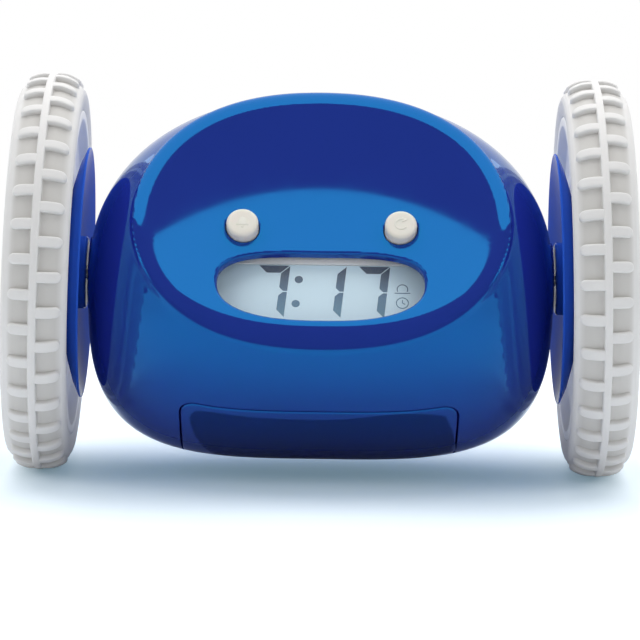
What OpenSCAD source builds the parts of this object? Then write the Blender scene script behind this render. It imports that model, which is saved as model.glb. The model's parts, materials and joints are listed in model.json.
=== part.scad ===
// Runaway alarm clock: a barrel body on two motor-driven wheels.
// Origin on the floor below the middle of the axles. Front faces -Y, +X is to the right, +Z up.

/* [Body] */
// Half width of the barrel along the axle
body_half_w = 51.8; // [51:0.1:52]
// Radius of the barrel in the middle plane
body_r = 41.3; // [40.5:0.1:41.5]
// Wall thickness of the two shells
wall = 2; // [1.6:0.1:2.4]
// Height of the rounded lip around the top of the face
lip_h = 1.5; // [0:0.1:2]
// Steps of the shell surface along the axle
steps_x = 36; // [24:2:44]
// Steps of the shell surface around the axle, for half a turn
steps_a = 36; // [24:2:44]

/* [Face] */
// Elevation of the face's normal in degrees
face_tilt = 36.5; // [34:0.5:39]
// Distance from the axle to the middle of the concave face
face_d = 24.6; // [24:0.1:25.5]
// Radius of the face's hollow across its width
face_rx = 124; // [110:1:150]
// Radius of the face's hollow from top to bottom
face_rt = 496; // [300:1:600]
// Half width of the LCD window
lcd_half_w = 22.4; // [20:0.1:23]
// Half height of the LCD window
lcd_half_h = 8.45; // [7.5:0.05:8.5]
// Distance of each eye button from the middle
eye_x = 17.2; // [16:0.1:18]
// Radius of the eye buttons
eye_r = 3.5; // [3:0.1:3.6]

/* [Wheels] */
// Outer radius of the wheels over the tread
wheel_r = 44.45; // [44.45]
// Position along the axle of the tread's middle rib
rib_x = 61.2; // [61:0.1:61.4]
// Lean of each wheel in degrees, its top towards the body
wheel_lean = 1.5; // [0:0.1:1.6]
// Radius of the tread's round from shoulder to shoulder
crown_r = 6; // [5.5:0.5:8]
// Number of bars in each row of the tread
bars = 36; // [36]
// Radius of the blue saucer beside the body
saucer_r = 28; // [24:0.5:29]

/* [Drive] */
// Gear module
gear_m = 0.5; // [0.5]
// Teeth of the pinions
teeth_small = 12; // [12]
// Teeth of the large gears
teeth_large = 36; // [36]
// Play between the gear teeth at the pitch circle
gear_play = 0.12; // [0.1:0.01:0.16]

/* [Buttons and door] */
// Half width of the battery door
door_half_w = 30.4; // [28:0.1:30.8]
// Half height of the battery door along the body
door_half_h = 15; // [14.5:0.1:15.2]
// Gap around the battery door
door_gap = 0.3; // [0.3:0.05:0.4]

/* [Hidden] */
$fn = 64;
blue = "#0a6fc0";
white = "#e4e3e2";
cream = "#e8e5dd";
grey = "#8c9096";
green = "#2c6a43";
steel = "#b5b8bc";
brass = "#c2a14d";
black = "#26272b";
// The body's top behind the lip is this much lower than its radius
top_drop = 1.3;
face_t0 = 8.1;
// Directions around the axle, measured from the rear (+Y) towards the top
face_al = 180 - face_tilt;
door_al = 240.5;
snooze_al = 66;
speaker_al = 25;
slider_al = -18;
eye_t = -3.3;
lcd_t = -17.35;
axle_r = 1.5;
// The wheels lean about their treads, so the axle's middle is this far above the floor
axle_z = wheel_r * cos(wheel_lean);
// How far the surface, the ends, the tread and the face lie from where their pieces are drawn
grow_r = body_r - 41.3;
grow_x = body_half_w - 51.8;
grow_w = wheel_r - 44.45;
grow_f = face_d - 24.6;
// On a thinner barrel the face's pieces sit higher, clear of its lower edge
grow_t = -0.63 * grow_r;
gear_c = gear_m * (teeth_small + teeth_large) / 2;
// Gear axes: the middle gear lies behind and below the axle, the motor behind that
mid_al = -36.3;
mid_y = gear_c * cos(mid_al);
mid_z = gear_c * sin(mid_al);
mot_al = -68.8;
mot_y = mid_y + gear_c * cos(mot_al);
mot_z = mid_z + gear_c * sin(mot_al);

// ---------- placing ----------
module at_axle() {
  translate([0, 0, axle_z]) children();
}
// Turns local +Z to the direction al around the axle
module radial(al) {
  rotate([al - 90, 0, 0]) children();
}
// The same for what follows the barrel's surface
module on_skin(al) {
  radial(al) translate([0, 0, grow_r]) children();
}
// Local +Z is the face's normal, local Y runs up the face
module on_face() {
  radial(face_al) translate([0, grow_t, grow_f]) children();
}
// A drive with its wheel: it follows the end of the barrel and leans as one
module outboard() {
  translate([grow_x + rib_x, 0, 0])
    rotate([0, -wheel_lean, 0])
      translate([-rib_x, 0, 0])
        children();
}
module right_side() {
  at_axle() outboard() children();
}
module left_side() {
  at_axle() mirror_x() outboard() children();
}
module mirror_x() {
  mirror([1, 0, 0]) children();
}
module both() {
  children();
  mirror_x() children();
}
// Extrudes a 2D shape, drawn in (y, z), along the axle from x0 to x1
module plate_x(x0, x1) {
  rotate([90, 0, 90])
    translate([0, 0, x0])
      linear_extrude(x1 - x0)
        children();
}
// Turns a profile drawn in (radius, x) around the axle
module turn_x() {
  rotate([90, 0, 90])
    rotate_extrude($fn = 96)
      children();
}
module rod_x(x0, x1, r, y = 0, z = 0) {
  translate([x0, y, z])
    rotate([0, 90, 0])
      cylinder(h = x1 - x0, r = r);
}
module tube_x(x0, x1, r, bore, y = 0, z = 0) {
  difference() {
    rod_x(x0, x1, r, y, z);
    rod_x(x0 - 1, x1 + 1, bore, y, z);
  }
}
module box(x0, x1, y0, y1, z0, z1) {
  translate([x0, y0, z0]) cube([x1 - x0, y1 - y0, z1 - z0]);
}

// ---------- the barrel's surface, as a distance from the axle's middle ----------
function clamp(v, lo, hi) = min(max(v, lo), hi);
function smooth_min(a, b, k) =
  let (h = max(k - abs(a - b), 0) / k)
  min(a, b) - h * h * k / 4;
function order(al) = 2.2 + 0.7 * (1 - sin(al));
function barrel_s(ps, al, off) =
  let (
    n = order(al),
    w = body_half_w - off,
    r = body_r - off - top_drop * pow(max(sin(al), 0), 2),
    cx = pow(abs(cos(ps)) / w, n),
    cr = pow(sin(ps) / r, n)
  )
  pow(cx + cr, -1 / n);
function face_s(ps, al, off) =
  let (
    dx = cos(ps),
    dd = -cos(face_tilt) * sin(ps) * cos(al) + sin(face_tilt) * sin(ps) * sin(al),
    dt = sin(ps) * (sin(face_tilt) * cos(al) + cos(face_tilt) * sin(al)),
    a = dx * dx / (2 * face_rx) + dt * dt / (2 * face_rt),
    b = dd + dt * face_t0 / face_rt,
    c = face_d - off + face_t0 * face_t0 / (2 * face_rt),
    q = b * b - 4 * a * c
  )
  (b > 0.01 && q > 0) ? 2 * c / (b + sqrt(q)) : 1000;
function skin_s(ps, al, off) =
  let (
    f = face_s(ps, al, off),
    b = barrel_s(ps, al, off),
    g = clamp(f - b, 0, 60),
    up = clamp(0.5 + 1.2 * sin(al), 0, 1),
    lip = lip_h * up * exp(-g * g / 16)
  )
  smooth_min(b + lip, f, 3);
function skin_pt(ps, al, off) =
  let (s = skin_s(ps, al, off))
  [s * cos(ps), s * sin(ps) * cos(al), s * sin(ps) * sin(al)];
// Steps along the axle are closer together at the ends, where the barrel turns in
function step_ps(i) = 180 * i / steps_x - 9 * sin(720 * i / steps_x) / 3;

// Half of the barrel as a hollow shell, from direction a0 through half a turn
module half_skin(a0) {
  m = steps_x;
  n = steps_a;
  ring = n + 1;
  one = (m - 1) * ring + 2;
  pts = [
    for (off = [0, wall])
      each concat(
        [skin_pt(0, a0, off)],
        [
          for (i = [1:m - 1])
            for (j = [0:n])
              skin_pt(step_ps(i), a0 + 180 * j / n, off)
        ],
        [skin_pt(180, a0, off)]
      )
  ];
  function id(k, i, j) =
    k * one + (i == 0 ? 0 : i == m ? one - 1 : 1 + (i - 1) * ring + j);
  faces = concat(
    [for (j = [0:n - 1]) [id(0, 0, 0), id(0, 1, j), id(0, 1, j + 1)]],
    [for (j = [0:n - 1]) [id(0, m, 0), id(0, m - 1, j + 1), id(0, m - 1, j)]],
    [
      for (i = [1:m - 2])
        for (j = [0:n - 1])
          each [
            [id(0, i, j), id(0, i + 1, j), id(0, i + 1, j + 1)],
            [id(0, i, j), id(0, i + 1, j + 1), id(0, i, j + 1)],
          ]
    ],
    [for (j = [0:n - 1]) [id(1, 0, 0), id(1, 1, j + 1), id(1, 1, j)]],
    [for (j = [0:n - 1]) [id(1, m, 0), id(1, m - 1, j), id(1, m - 1, j + 1)]],
    [
      for (i = [1:m - 2])
        for (j = [0:n - 1])
          each [
            [id(1, i, j), id(1, i + 1, j + 1), id(1, i + 1, j)],
            [id(1, i, j), id(1, i, j + 1), id(1, i + 1, j + 1)],
          ]
    ],
    [
      for (i = [0:m - 1])
        each [
          [id(0, i, 0), id(1, i, 0), id(1, i + 1, 0)],
          [id(0, i, 0), id(1, i + 1, 0), id(0, i + 1, 0)],
          [id(0, i, n), id(1, i + 1, n), id(1, i, n)],
          [id(0, i, n), id(0, i + 1, n), id(1, i + 1, n)],
        ]
    ]
  );
  polyhedron(points = pts, faces = [for (f = faces) [f[2], f[1], f[0]]]);
}
// A plain barrel of one order, used to trim what stands inside the shells
module barrel_solid(n, off) {
  w = body_half_w - off;
  r = body_r - off;
  turn_x()
    polygon(
      concat(
        [for (a = [0:6:174]) let (f = barrel_f(a, n, w, r)) [f * sin(a), f * cos(a)]],
        [[0, -w]]
      )
    );
}
function barrel_f(a, n, w, r) = pow(pow(abs(cos(a)) / w, n) + pow(sin(a) / r, n), -1 / n);

// ---------- outlines ----------
function rounded(w, h, r, k = 5) =
  [
    for (q = [0:3])
      for (i = [0:k])
        let (a = 90 * q + 90 * i / k)
        [
          (q == 0 || q == 3 ? w - r : r - w) + r * cos(a),
          (q < 2 ? h - r : r - h) + r * sin(a),
        ]
  ];
function sgn_pow(v, p) = sign(v) * pow(abs(v), p);
// The window's outline: long, with round ends and slightly bowed long sides
function window_pts(g) =
  [
    for (i = [0:59])
      let (a = 6 * i + 3)
      [
        (lcd_half_w + g) * sgn_pow(cos(a), 2 / 3),
        lcd_t + (lcd_half_h + g) * sgn_pow(sin(a), 2 / 2.5),
      ]
  ];
module door_shape(g) {
  polygon(rounded(door_half_w - g, door_half_h - g, 4 - g));
}

// ---------- front and rear shells ----------
module side_boss(front) {
  intersection() {
    tube_x(46, 51.8, 8.1, 2);
    if (front)
      box(45, 55, -10, 0, -10, 10);
    else
      box(45, 55, 0, 10, -10, 10);
  }
}
module face_post(x, t) {
  on_face()
    translate([x, t, 16.8])
      cylinder(h = 10.2, r = 2);
}
// Posts that the casing screws join, at [x, z]
high_post = [26, 24];
low_post = [33, -32.1];
module front_shell() {
  color(blue) at_axle() difference() {
    union() {
      half_skin(90);
      both() outboard() side_boss(true);
      for (s = [-1, 1])
        for (t = [2, -21])
          face_post(30 * s, t);
      intersection() {
        for (s = [-1, 1])
          translate([high_post[0] * s, 0, high_post[1]])
            rotate([90, 0, 0])
              cylinder(h = 12.8, r = 3);
        barrel_solid(2.4, 1);
      }
      intersection() {
        for (s = [-1, 1]) {
          translate([low_post[0] * s, 0, low_post[1]])
            rotate([90, 0, 0])
              cylinder(h = 30, r = 3);
          // Ribs that the battery tray is fixed to
          on_skin(door_al)
            for (t = [-3.4, 6.4])
              translate([(door_half_w + 1.9) * s, t, 34]) cube([2.4, 2, 12], center = true);
        }
        barrel_solid(3.4, 0.9);
      }
    }
    on_face() {
      translate([0, 0, 18])
        linear_extrude(14)
          polygon(window_pts(0));
      for (s = [-1, 1])
        translate([eye_x * s, eye_t, 18])
          cylinder(h = 14, r = eye_r + 0.35);
      for (s = [-1, 1])
        for (t = [2, -21])
          translate([30 * s, t, 16])
            cylinder(h = 6, r = 0.8);
    }
    on_skin(door_al)
      translate([0, 0, 30])
        linear_extrude(16)
          door_shape(0);
    both() outboard() rod_x(45, 54, 2);
    both() outboard() rod_x(45, 47.4, 3.3);
    for (s = [-1, 1]) {
      translate([high_post[0] * s, 1, high_post[1]])
        rotate([90, 0, 0])
          cylinder(h = 8.5, r = 1.25);
      translate([low_post[0] * s, 1, low_post[1]])
        rotate([90, 0, 0])
          cylinder(h = 8.5, r = 1.25);
    }
  }
}
module rear_post(x, z, n) {
  intersection() {
    translate([x, 0, z])
      rotate([-90, 0, 0])
        cylinder(h = 40, r = 4);
    barrel_solid(n, 0.9);
  }
}
module rear_shell() {
  color(blue) at_axle() difference() {
    union() {
      half_skin(-90);
      both() outboard() side_boss(false);
      both() rear_post(high_post[0], high_post[1], 2.4);
      both() rear_post(low_post[0], low_post[1], 3.5);
      // Ribs that hold the snooze board and the rear switch board
      for (s = [-1, 1]) {
        on_skin(snooze_al) translate([15.8 * s, 0, 33.85]) cube([2.4, 9, 8.1], center = true);
        on_skin(slider_al) translate([22 * s, 0, 35.7]) cube([3, 8, 7.6], center = true);
      }
      // Ring that seats the speaker
      on_skin(speaker_al) translate([0, 0, 33.5]) tube_z(13.6, 12.3, 4);
    }
    both() outboard() rod_x(45, 54, 2);
    both() outboard() rod_x(45, 47.4, 3.3);
    for (s = [-1, 1]) {
      for (p = [high_post, low_post]) {
        translate([p[0] * s, 12, p[1]])
          rotate([-90, 0, 0])
            cylinder(h = 40, r = 2.8);
        translate([p[0] * s, -1, p[1]])
          rotate([-90, 0, 0])
            cylinder(h = 20, r = 1.35);
      }
    }
    on_skin(snooze_al)
      translate([0, 0, 32])
        linear_extrude(12)
          polygon(rounded(13.35, 4.35, 4.1));
    // Slots of the two slide switches
    for (s = [-1, 1])
      on_skin(slider_al)
        translate([12 * s, 0, 30])
          linear_extrude(14)
            polygon(rounded(5, 1.9, 0.6));
    // Sound holes
    on_skin(speaker_al) {
      translate([0, 0, 34]) cylinder(h = 10, r = 0.9);
      for (k = [1:3])
        for (i = [0:6 * k - 1])
          rotate([0, 0, 60 * i / k])
            translate([2.9 * k, 0, 34])
              cylinder(h = 10, r = 0.9);
    }
  }
}
module tube_z(r, bore, h) {
  difference() {
    cylinder(h = h, r = r);
    translate([0, 0, -1]) cylinder(h = h + 2, r = bore);
  }
}
notch_half_w = 5.2;
notch_r = 2.3;
notch_d = 39.2;
module battery_door() {
  color(blue) at_axle() union() {
    intersection() {
      half_skin(90);
      on_skin(door_al)
        difference() {
          translate([0, 0, 30])
            linear_extrude(16)
              door_shape(door_gap);
          // Thumb notch at the lower edge
          translate([0, -door_half_h - 0.3, notch_d])
            rotate([0, 90, 0])
              cylinder(h = 2 * notch_half_w, r = notch_r, center = true);
        }
    }
    // Two stiffening ribs and the latch tongue on the inside
    on_skin(door_al) {
      for (s = [-1, 1])
        translate([(door_half_w - 3.4) * s, 0, 37.6]) cube([1.2, 20, 2.4], center = true);
    }
  }
}

// ---------- face: window, display and boards ----------
module lcd_lens() {
  color("#dfe9ee", 0.5) at_axle() on_face()
    box(-26, 26, -28.6, -8.2, 21.8, 22.7);
}
module lcd_glass() {
  color("#cfdde6") at_axle() on_face()
    box(-23.8, 23.8, -26.9, -9.9, 19.6, 21.4);
}
module lcd_frame() {
  color(white) at_axle() on_face() difference() {
    box(-26, 26, -28.6, -8.2, 16.8, 21.8);
    box(-24, 24, -27.1, -9.7, 16, 21.4);
    box(-23, 23, -26.3, -8.9 - 0.9, 20, 23);
  }
}
module lcd_connectors() {
  color("#d9a6a0") at_axle() on_face() {
    box(-20, 20, -26.6, -24.6, 16.8, 19.6);
    box(-20, 20, -12.2, -10.2, 16.8, 19.6);
  }
}
module main_board() {
  color(green) at_axle() on_face() difference() {
    box(-33, 33, -28.6, 5, 15.6, 16.8);
    for (s = [-1, 1])
      for (t = [2, -21])
        translate([30 * s, t, 14])
          cylinder(h = 4, r = 1.1);
  }
}
module board_chips() {
  color(black) at_axle() on_face() {
    box(-7, 7, -22, -14, 14.3, 15.6);
    box(12, 17, -20, -16, 14.6, 15.6);
    box(-20, -14, -9, -5, 14.4, 15.6);
    box(8, 11, -5, -3.5, 14.9, 15.6);
    box(-6, 4, -1, 3, 16.8, 18.6);
  }
}
module tact_switch() {
  translate([-2.5, -2.5, 0]) cube([5, 5, 1.6]);
  translate([0, 0, 1.6]) cylinder(h = 1, r = 1.2);
}
module face_switches() {
  color(black) at_axle() on_face()
    for (s = [-1, 1])
      translate([eye_x * s, eye_t + 0.2, 16.8])
        tact_switch();
}
module eye_button() {
  rotate_extrude()
    polygon([
      [0, 20.8],
      [1.6, 20.8],
      [1.6, 21.8],
      [4.4, 21.8],
      [4.4, 22.8],
      [eye_r, 22.8],
      [eye_r, 27.9],
      [eye_r - 0.2, 28.4],
      [eye_r - 0.7, 28.6],
      [0, 28.6],
    ]);
}
module left_button() {
  color(cream) at_axle() on_face() translate([-eye_x, eye_t, 0]) eye_button();
}
module right_button() {
  color(cream) at_axle() on_face() translate([eye_x, eye_t, 0]) eye_button();
}

// ---------- top and rear controls ----------
module snooze_bar() {
  color(cream) at_axle() on_skin(snooze_al) {
    translate([0, 0, 35.2])
      linear_extrude(5.8)
        polygon(rounded(13, 4, 3.8));
    translate([0, 0, 35.7])
      linear_extrude(0.8)
        polygon(rounded(14, 5.2, 1));
    translate([0, 0, 33.7]) cylinder(h = 2, r = 1.6);
  }
}
module snooze_board() {
  color(green) at_axle() on_skin(snooze_al)
    box(-17.6, 17.6, -4.5, 4.5, 28.6, 29.8);
}
module snooze_switch() {
  color(black) at_axle() on_skin(snooze_al)
    translate([0, 0, 29.8])
      tact_switch();
}
module rear_board() {
  color(green) at_axle() on_skin(slider_al)
    box(-23.5, 23.5, -4, 4, 30.7, 31.9);
}
module slide_switch_cases() {
  color(steel) at_axle() on_skin(slider_al)
    for (s = [-1, 1])
      difference() {
        box(12 * s - 5, 12 * s + 5, -2.6, 2.6, 31.9, 35.4);
        box(12 * s - 4.2, 12 * s + 4.2, -1.1, 1.1, 33.4, 36);
      }
}
module slider() {
  box(-1.6, 1.6, -0.75, 0.75, 33.7, 36.2);
  box(-2.6, 2.6, -1.5, 1.5, 36, 42);
}
module alarm_slider() {
  color(cream) at_axle() on_skin(slider_al) translate([-14, 0, 0]) slider();
}
module wheels_slider() {
  color(cream) at_axle() on_skin(slider_al) translate([10, 0, 0]) slider();
}
module speaker() {
  color(black) at_axle() on_skin(speaker_al) difference() {
    union() {
      translate([0, 0, 33.2]) cylinder(h = 2.4, r = 12);
      translate([0, 0, 30.2]) cylinder(h = 3.2, r = 7);
    }
    translate([0, 0, 33.9]) cylinder(h = 3, r = 10.6);
    translate([0, 0, 32]) cylinder(h = 3, r = 4.6);
  }
}
module speaker_cone() {
  color(grey) at_axle() on_skin(speaker_al)
    rotate_extrude()
      polygon([[0, 34.1], [4, 34.1], [6, 33.95], [10.6, 34.6], [10.6, 35], [6, 34.4], [4, 34.5], [0, 34.9]]);
}

// ---------- batteries ----------
cell_r = 5.2;
cell_half = 22.25;
module battery_tray() {
  color(black) at_axle() on_skin(door_al) difference() {
    union() {
      box(-26.6, 26.6, -12.6, 12.6, 13.4, 34.8);
      box(-door_half_w - 3.6, door_half_w + 3.6, -5, 8, 26.4, 28);
    }
    box(-25.2, 25.2, -11.3, 11.3, 14.6, 40);
  }
}
module each_cell() {
  for (d = [20.2, 31])
    for (t = [-5.6, 5.6])
      translate([0, t, d])
        rotate([0, 0, (t > 0) == (d > 25) ? 0 : 180])
          children();
}
module battery_cells() {
  color("#3c8f57") at_axle() on_skin(door_al) each_cell() {
    rod_x(-cell_half, cell_half - 1, cell_r);
    rod_x(cell_half - 1, cell_half, 1.9);
  }
}
module battery_contacts() {
  color(steel) at_axle() on_skin(door_al) each_cell() {
    box(22.25, 25.2, -3.6, 3.6, -3.8, -3.2);
    box(22.25, 22.65, -3.6, 3.6, -3.8, 3.8);
    box(-25.2, -24.8, -3.6, 3.6, -3.8, 3.8);
  }
}
// A cone spring along -X from the cell's flat end
module coil(x0, x1, r0, r1, turns, wire, sides = 6, steps = 12) {
  n = turns * steps;
  pts = [
    for (i = [0:n])
      let (
        a = 360 * i / steps,
        f = i / n,
        r = r0 + (r1 - r0) * f,
        x = x0 + (x1 - x0) * f
      )
      for (k = [0:sides - 1])
        let (b = 360 * k / sides, q = r + wire * cos(b))
        [x + wire * sin(b), q * cos(a), q * sin(a)]
  ];
  faces = concat(
    [[for (k = [0:sides - 1]) k]],
    [
      for (i = [0:n - 1])
        for (k = [0:sides - 1])
          let (
            a = i * sides + k,
            b = i * sides + (k + 1) % sides
          )
          each [[a, a + sides, b], [b, a + sides, b + sides]]
    ],
    [[for (k = [sides - 1:-1:0]) n * sides + k]]
  );
  polyhedron(points = pts, faces = [for (f = faces) [for (i = [len(f) - 1:-1:0]) f[i]]]);
}
module battery_springs() {
  color(steel) at_axle() on_skin(door_al) each_cell()
    coil(-22.55, -24.52, 2.2, 3.4, 3, 0.28);
}

// ---------- drive ----------
function inv(phi) = tan(phi) - phi * PI / 180;
function gear_pts(z, m, phase, play) =
  let (
    pa = 20,
    rp = m * z / 2,
    rb = rp * cos(pa),
    ra = rp + 0.8 * m,
    rr = rp - 1.15 * m,
    ht = (PI * m / 2 - play) / (2 * rp) + inv(pa),
    r1 = max(rb, rr),
    rs = [rr, r1 + 0.001, r1 + (ra - r1) * 0.3, r1 + (ra - r1) * 0.65, ra],
    hs = [for (r = rs) (ht - (r > rb ? inv(acos(rb / r)) : 0)) * 180 / PI]
  )
  [
    for (i = [0:z - 1])
      let (a = phase + 360 * i / z)
      for (k = [0:9])
        let (
          j = k < 5 ? k : 9 - k,
          b = k < 5 ? a - hs[j] : a + hs[j]
        )
        [rs[j] * cos(b), rs[j] * sin(b)]
  ];
module gear(z, phase, x0, x1, y = 0, z0 = 0) {
  translate([0, y, z0])
    plate_x(x0, x1)
      polygon(gear_pts(z, gear_m, phase, gear_play));
}
half_tooth = 180 / teeth_small;
module output_gear() {
  color(white) difference() {
    union() {
      gear(teeth_large, mid_al, 37.6, 40.8);
      rod_x(36.4, 42.6, 3.6);
    }
    rod_x(35, 45, axle_r);
  }
}
module middle_gear() {
  color(white) difference() {
    union() {
      gear(teeth_large, mot_al, 31.6, 34.2, mid_y, mid_z);
      gear(teeth_small, mid_al + 180 + half_tooth, 34, 42.6, mid_y, mid_z);
    }
    rod_x(30, 45, 1.05, mid_y, mid_z);
  }
}
module pinion() {
  color(brass) difference() {
    gear(teeth_small, mot_al + 180 + half_tooth, 30.8, 35, mot_y, mot_z);
    rod_x(30, 36, 1, mot_y, mot_z);
  }
}
module rotor() {
  color(steel) {
    rod_x(6.8, 35, 1, mot_y, mot_z);
    rod_x(12, 25.6, 4.8, mot_y, mot_z);
  }
}
module motor_can() {
  color(steel) translate([0, mot_y, mot_z]) difference() {
    union() {
      rod_x(8.4, 28.4, 7.5);
      rod_x(28, 29.8, 3);
    }
    rod_x(7, 27.4, 6.8);
    rod_x(20, 31, 1.06);
  }
}
module motor_cap() {
  color(black) translate([0, mot_y, mot_z]) difference() {
    union() {
      rod_x(6.8, 8.4, 7.5);
      rod_x(8.4, 10.6, 6.75);
    }
    rod_x(6, 12, 1.06);
  }
}
module magnet() {
  color(grey) tube_x(12.4, 25.4, 6.8, 5.9, mot_y, mot_z);
}
// Outline of the gearbox: around all three axes, or without the motor's
module gearbox_shape(g, motor = true) {
  hull() {
    circle(r = 11.6 - g);
    translate([mid_y, mid_z]) circle(r = 11.6 - g);
    if (motor)
      translate([mot_y, mot_z]) circle(r = 8.2 - g);
  }
}
module gearbox_case() {
  color(white) difference() {
    union() {
      plate_x(30, 37.6) gearbox_shape(0);
      plate_x(30, 46) gearbox_shape(0, false);
    }
    plate_x(29, 36.2) gearbox_shape(1.4);
    plate_x(29, 44.4) gearbox_shape(1.4, false);
    rod_x(43, 48, 3);
    rod_x(43, 48, 1, mid_y, mid_z);
  }
}
module gearbox_cover() {
  color(white) difference() {
    plate_x(28.4, 30) gearbox_shape(0);
    rod_x(27, 32, 3);
    rod_x(27, 32, 1, mid_y, mid_z);
    rod_x(27, 32, 3.05, mot_y, mot_z);
  }
}
module bushes() {
  color(brass) {
    tube_x(27.6, 31.2, 3, axle_r + 0.04);
    tube_x(43.4, 47, 3, axle_r + 0.04);
  }
}
module gear_pin() {
  color(steel) rod_x(28.4, 46, 1, mid_y, mid_z);
}
module axle() {
  color(steel) difference() {
    rod_x(27.2, 60.8, axle_r);
    rod_x(55, 62, 0.8);
  }
}

// ---------- wheels ----------
module saucer() {
  color(blue) turn_x()
    polygon([
      [axle_r, 52.3],
      [7.7, 52.3],
      [8.1, 52.7],
      [8.15, 54.4],
      [8.6, 55.3],
      [9.6, 55.9],
      [11, 56.1],
      [13, 55.95],
      [17, 55.3],
      [21, 54.4],
      [25, 53.3],
      [saucer_r - 0.35, 52.45],
      [saucer_r, 52.5],
      [saucer_r, 52.9],
      [25, 54.3],
      [21, 55.5],
      [17.5, 56.4],
      [14, 57],
      [axle_r, 57],
    ]);
}
module wheel_rim() {
  color(white) turn_x()
    polygon([
      [axle_r, 57],
      [30 + grow_w, 57],
      [32.4 + grow_w, 56.4],
      [33.6 + grow_w, 55],
      [34.2 + grow_w, 54.4],
      [36.2 + grow_w, 54.4],
      [36.2 + grow_w, 66.6],
      [34.2 + grow_w, 66.6],
      [34.2 + grow_w, 60.2],
      [33 + grow_w, 58.8],
      [12, 58.8],
      [12, 61.4],
      [9.5, 61.4],
      [9.5, 58.8],
      [5, 58.8],
      [5, 60.8],
      [axle_r, 60.8],
    ]);
}
function bar_pts(len, r, k = 6) =
  concat(
    [[-0.6, -r], [len - r, -r]],
    [for (i = [1:k - 1]) [len - r + r * cos(180 * i / k - 90), r * sin(180 * i / k - 90)]],
    [[len - r, r], [-0.6, r]]
  );
// How much lower the tread is at a distance from its middle
function crown(dx) = pow(max(abs(dx) - crown_flat, 0), 2) / (2 * crown_r);
crown_flat = 1.6;
bar_h = 3.6;
bar_half = 1.2;
// Side view of one bar: flat beside the rib and falling off towards the shoulder
function bar_side_pts(len) =
  concat(
    [[-0.6, -wheel_r + bar_h], [-0.6, -wheel_r]],
    [for (dx = [crown_flat, 2.6, 3.6, 4.5, 5.3]) [dx - 0.5, crown(dx) - wheel_r]],
    [[len + 0.5, crown(len + 1) - wheel_r], [len + 0.5, -wheel_r + bar_h]]
  );
module tread_bar(i, side, len) {
  rotate([10 * i + (side < 0 ? 5 : 0), 0, 0])
    translate([rib_x + side * 0.5, 0, 0])
      scale_mirror(side)
        intersection() {
          translate([0, 0, -wheel_r - 1])
            linear_extrude(bar_h + 1)
              polygon(bar_pts(len, bar_half));
          rotate([90, 0, 0])
            linear_extrude(2 * bar_half + 1, center = true)
              polygon(bar_side_pts(len));
        }
}
module scale_mirror(side) {
  if (side < 0)
    mirror([1, 0]) children();
  else
    children();
}
// The tread between its bars, [radius, distance from the rib]
function tread_pt(dx) = [wheel_r - 1.4 - crown(dx), rib_x + dx];
tread_half = 6.3;
module tyre() {
  color(white) {
    turn_x()
      polygon(concat(
        [
          [36.2 + grow_w, rib_x - 6.7],
          [38.6 + grow_w, rib_x - 7.1],
          [39.8 + grow_w, rib_x - 7.1],
          [40.6 + grow_w, rib_x - 6.8],
        ],
        [for (dx = [-tread_half, -4.9, -3.6, -2.3]) tread_pt(dx)],
        [
          [wheel_r - 1.4, rib_x - 0.9],
          [wheel_r - 0.3, rib_x - 0.75],
          [wheel_r - 0.25, rib_x],
          [wheel_r - 0.3, rib_x + 0.75],
          [wheel_r - 1.4, rib_x + 0.9],
        ],
        [for (dx = [2.3, 3.6, 4.9, tread_half]) tread_pt(dx)],
        [
          [40.6 + grow_w, rib_x + 6.8],
          [39.8 + grow_w, rib_x + 7.1],
          [38.6 + grow_w, rib_x + 7.1],
          [36.2 + grow_w, rib_x + 6.4],
        ]
      ));
    for (i = [0:bars - 1]) {
      tread_bar(i, 1, 4.9);
      tread_bar(i, -1, 5.5);
    }
  }
}
module wheel_cover() {
  color(blue) turn_x()
    polygon([
      [3.4, 61.4],
      [10.5, 61.4],
      [12, 62],
      [18, 62.2],
      [25, 62.9],
      [31 + grow_w, 64.4],
      [34 + grow_w, 65.9],
      [34.1 + grow_w, 66.5],
      [33.4 + grow_w, 67],
      [30.6 + grow_w, 66.2],
      [25, 64.7],
      [18, 63.9],
      [13, 63.7],
      [11, 64.4],
      [10, 66],
      [9.4, 66.3],
      [9.4, 63.2],
      [3.4, 63.2],
    ]);
}
module wheel_cap() {
  color(blue) turn_x()
    polygon([
      [0, 65.2],
      [7.6, 64.2],
      [7.6, 63.2],
      [9.2, 63.2],
      [9.2, 66.2],
      [8.6, 66.7],
      [6, 67.2],
      [3, 67.45],
      [0, 67.5],
    ]);
}
module wheel_screw() {
  color(steel) turn_x()
    polygon([[0, 56], [0.78, 56], [0.78, 58.8], [0.78, 60.8], [3, 60.8], [3, 62.2], [2.4, 62.8], [0, 62.8]]);
}

// ---------- screws ----------
module casing_screws() {
  color(steel) at_axle()
    for (s = [-1, 1])
      for (p = [high_post, low_post])
        translate([p[0] * s, 0, p[1]])
          rotate([-90, 0, 0]) {
            translate([0, 0, -6.5]) cylinder(h = 18.5, r = 1.2);
            translate([0, 0, 12]) cylinder(h = 2, r = 2.5);
          }
}
module board_screws() {
  color(steel) at_axle() on_face()
    for (s = [-1, 1])
      for (t = [2, -21])
        translate([30 * s, t, 0]) {
          translate([0, 0, 15]) cylinder(h = 5.6, r = 0.78);
          translate([0, 0, 14]) cylinder(h = 1.6, r = 1.9);
        }
}

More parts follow.
